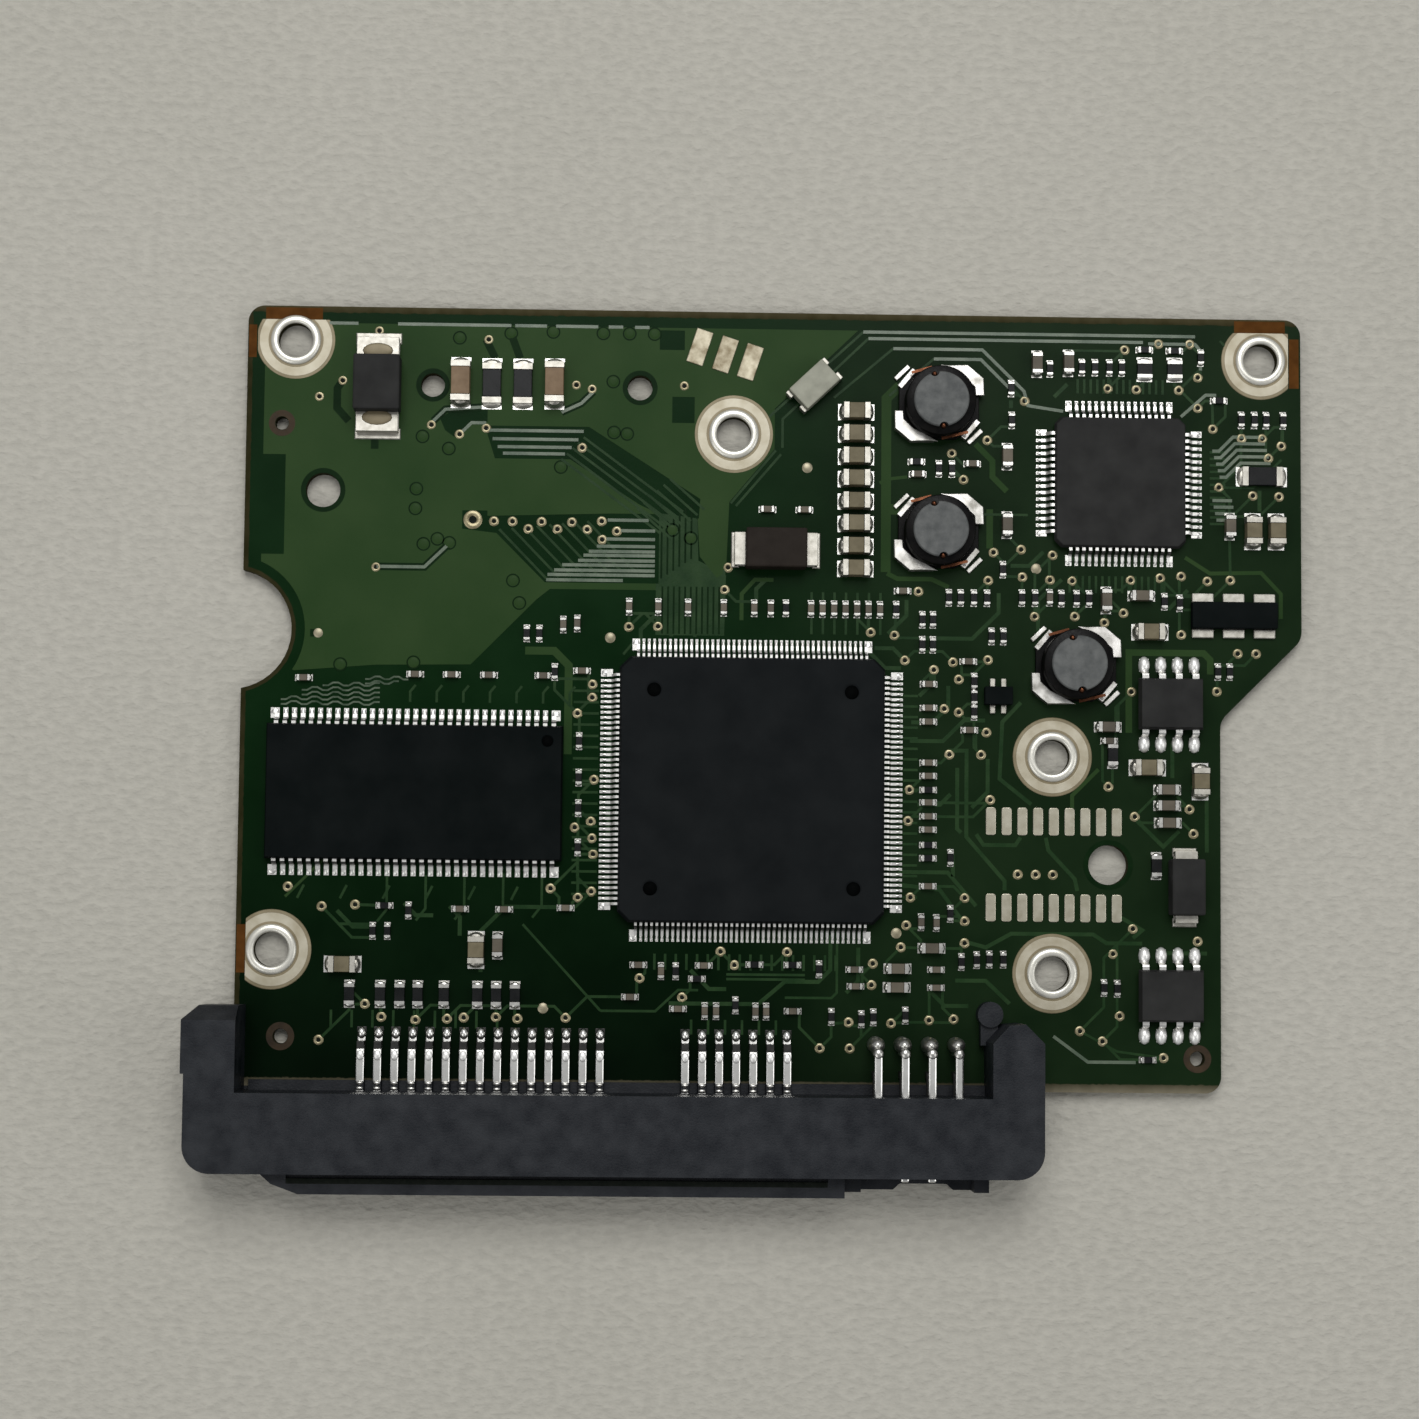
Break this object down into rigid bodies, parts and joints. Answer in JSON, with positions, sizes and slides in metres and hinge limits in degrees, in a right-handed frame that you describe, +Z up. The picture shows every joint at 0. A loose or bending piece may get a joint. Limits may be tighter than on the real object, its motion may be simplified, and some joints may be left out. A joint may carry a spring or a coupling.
{
  "type": "hard drive circuit board",
  "caption": "Green hard drive circuit board with a combined data and power edge connector, a large controller chip, memory, motor driver and wound inductors.",
  "frame": {"origin": "centre of the datum mounting hole, the one nearest the connector's outer end, at the board's underside", "axes": "+X along the board's long edges away from the datum hole's short edge, +Y away from the connector edge, +Z up out of the component face"},
  "size_m": [0.0833, 0.0665, 0.007],
  "materials": {
    "board_laminate": "satin",
    "tin_plate": "satin",
    "connector_plastic": "matte",
    "mould_compound": "matte",
    "brown_compound": "matte",
    "ferrite": "matte",
    "copper_wire": "satin",
    "tan_ceramic": "matte",
    "grey_ceramic": "matte",
    "sensor_ceramic": "satin",
    "resistor_black": "satin"
  },
  "bodies": {
    "root": {"blocking_diode_body": "brown_compound", "blocking_diode_terminals": "tin_plate", "bulk_capacitor_bodies": "grey_ceramic", "bulk_capacitor_ends": "tin_plate", "chip_capacitor_bodies": "tan_ceramic", "chip_capacitor_ends": "tin_plate", "circuit_board": "board_laminate", "connector_housing": "connector_plastic", "controller_body": "mould_compound", "controller_leads": "tin_plate", "corner_capacitor_bodies": "tan_ceramic", "corner_capacitor_ends": "tin_plate", "corner_resistor_bodies": "resistor_black", "corner_resistor_ends": "tin_plate", "head_contact_pads": "tin_plate", "jumper_pins": "tin_plate", "lower_inductor_core": "ferrite", "lower_inductor_terminals": "tin_plate", "lower_inductor_winding": "copper_wire", "lower_switch_chip_body": "mould_compound", "lower_switch_chip_leads": "tin_plate", "memory_body": "mould_compound", "memory_leads": "tin_plate", "middle_inductor_core": "ferrite", "middle_inductor_terminals": "tin_plate", "middle_inductor_winding": "copper_wire", "motor_contact_pads": "tin_plate", "motor_driver_body": "mould_compound", "motor_driver_leads": "tin_plate", "mounting_hole_lands": "tin_plate", "power_array_body": "mould_compound", "power_array_leads": "tin_plate", "power_contacts": "tin_plate", "rectifier_body": "mould_compound", "rectifier_terminals": "tin_plate", "sense_resistor_bodies": "resistor_black", "sense_resistor_ends": "tin_plate", "shock_sensor_body": "sensor_ceramic", "shock_sensor_terminals": "tin_plate", "signal_contacts": "tin_plate", "small_capacitors": "grey_ceramic", "small_resistors": "resistor_black", "small_switch_body": "mould_compound", "small_switch_leads": "tin_plate", "surge_diode_body": "mould_compound", "surge_diode_terminals": "tin_plate", "upper_inductor_core": "ferrite", "upper_inductor_terminals": "tin_plate", "upper_inductor_winding": "copper_wire", "upper_switch_chip_body": "mould_compound", "upper_switch_chip_leads": "tin_plate"}
  },
  "joints": []
}
